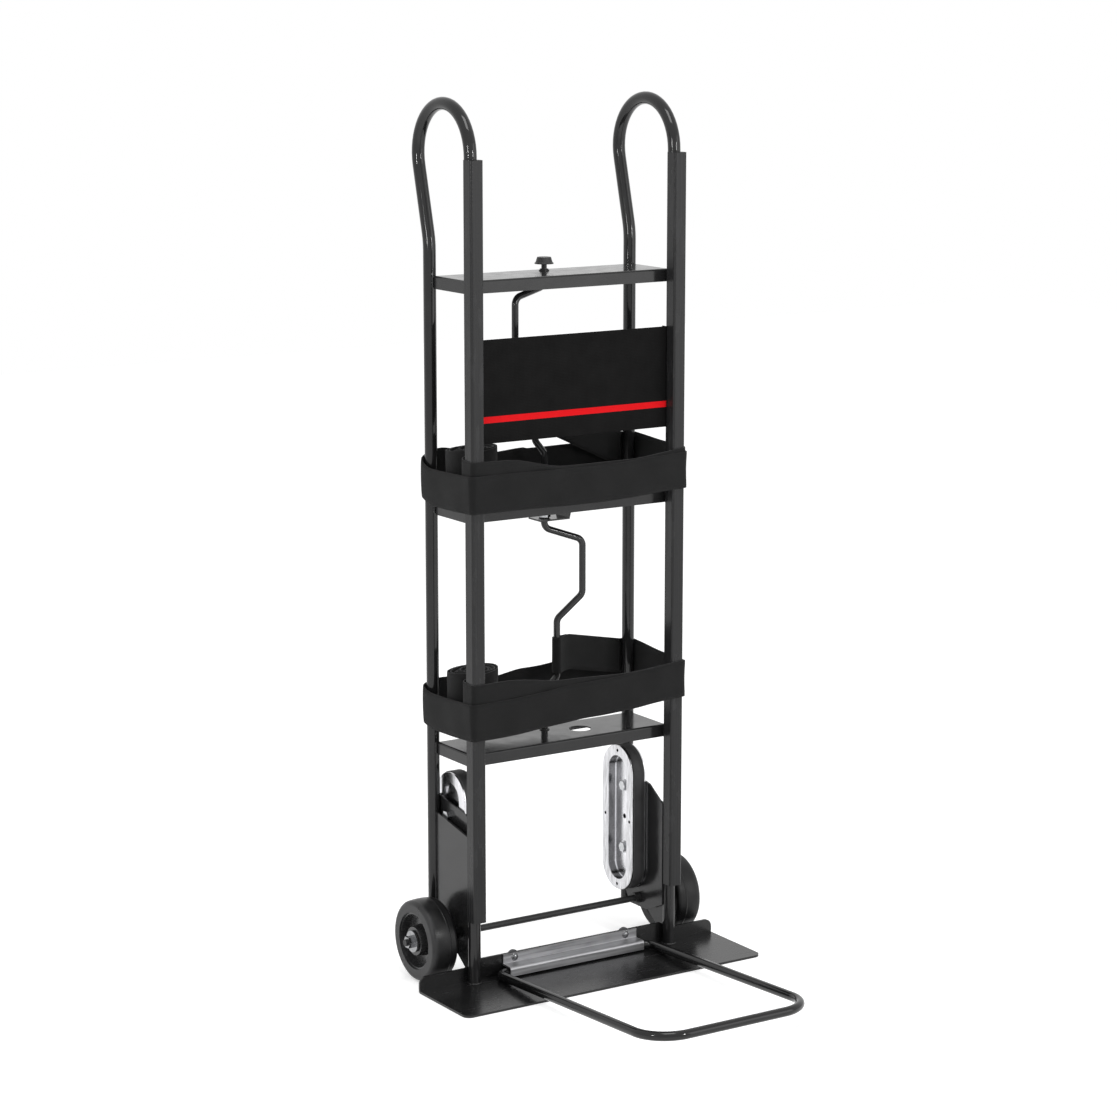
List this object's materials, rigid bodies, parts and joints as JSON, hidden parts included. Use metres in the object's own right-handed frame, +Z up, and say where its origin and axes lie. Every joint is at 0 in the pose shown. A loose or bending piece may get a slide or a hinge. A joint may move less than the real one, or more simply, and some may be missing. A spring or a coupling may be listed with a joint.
{
  "type": "appliance hand truck",
  "caption": "Tall steel hand truck with loop handles, rail guards, webbing straps on cranks, stair-climber belts, solid wheels and a fold-out toe extension.",
  "frame": {"origin": "on the floor, midway between the front legs, in the underside of the toe plate", "axes": "+X to the right seen from the load side, +Y towards the rear (the load side faces -Y), +Z up"},
  "size_m": [0.616, 0.6787, 1.5238],
  "materials": {
    "black_powder_coat": "semi-gloss black powder coat",
    "guard_plastic": "smooth black extrusion",
    "panel_paint": "black with a fine dot pattern and a plain red stripe",
    "bare_steel": "dull bare steel",
    "bright_zinc": "bright zinc plate",
    "cast_aluminium": "bright machined casting",
    "belt_rubber": "matt black",
    "tyre_rubber": "matt black",
    "hub_plastic": "satin black",
    "bush_bronze": "sintered bronze",
    "bush_plastic": "black nylon",
    "knob_plastic": "matt black",
    "webbing": "plain woven black webbing"
  },
  "bodies": {
    "frame": {"left_side_tube": "black_powder_coat", "right_side_tube": "black_powder_coat", "top_cross_plate": "black_powder_coat", "middle_cross_plate": "black_powder_coat", "lower_cross_plate": "black_powder_coat", "toe_plate": "black_powder_coat", "left_side_gusset": "black_powder_coat", "right_side_gusset": "black_powder_coat", "left_climber_plate": "black_powder_coat", "right_climber_plate": "black_powder_coat", "axle": "black_powder_coat", "axle_bosses": "black_powder_coat", "axle_spacers": "black_powder_coat", "crank_hanger": "black_powder_coat", "left_rail_guard": "guard_plastic", "right_rail_guard": "guard_plastic", "front_panel": "panel_paint", "panel_rivets": "panel_paint", "hinge_bracket": "bare_steel", "hinge_bolts": "bright_zinc", "hinge_washers": "bright_zinc", "hinge_nuts": "bright_zinc", "climber_bolts": "bright_zinc", "climber_spacers": "bright_zinc", "climber_nuts": "bright_zinc", "axle_washers": "bright_zinc", "axle_nuts": "bright_zinc", "left_climber_shoe": "cast_aluminium", "right_climber_shoe": "cast_aluminium", "left_climber_belt": "belt_rubber", "right_climber_belt": "belt_rubber", "crank_bushes": "bush_plastic", "upper_strap": "webbing", "lower_strap": "webbing"},
    "left_wheel": {"left_tyre": "tyre_rubber", "left_wheel_hub": "hub_plastic", "left_hub_bushes": "bush_bronze"},
    "right_wheel": {"right_tyre": "tyre_rubber", "right_wheel_hub": "hub_plastic", "right_hub_bushes": "bush_bronze"},
    "toe_extension": {"toe_extension_bar": "black_powder_coat"},
    "upper_crank": {"upper_crank": "black_powder_coat", "upper_crank_knob": "knob_plastic", "upper_strap_eye": "webbing"},
    "lower_crank": {"lower_crank": "black_powder_coat", "lower_crank_nut": "bright_zinc", "lower_strap_eye": "webbing"}
  },
  "joints": [
    {"name": "left_wheel_spin", "type": "hinge", "parent": "frame", "child": "left_wheel", "pos_m": [-0.257, 0.077, 0.072], "axis": [1, 0, 0], "continuous": true},
    {"name": "right_wheel_spin", "type": "hinge", "parent": "frame", "child": "right_wheel", "pos_m": [0.257, 0.077, 0.072], "axis": [1, 0, 0], "continuous": true},
    {"name": "toe_extension_fold", "type": "hinge", "parent": "frame", "child": "toe_extension", "pos_m": [0, -0.0044, 0.0124], "axis": [-1, 0, 0], "range_deg": [0, 82]},
    {"name": "upper_crank_turn", "type": "hinge", "parent": "frame", "child": "upper_crank", "pos_m": [0, 0.095, 1], "axis": [0, 0, 1], "continuous": true},
    {"name": "lower_crank_turn", "type": "hinge", "parent": "frame", "child": "lower_crank", "pos_m": [0, 0.095, 0.6], "axis": [0, 0, 1], "continuous": true}
  ]
}
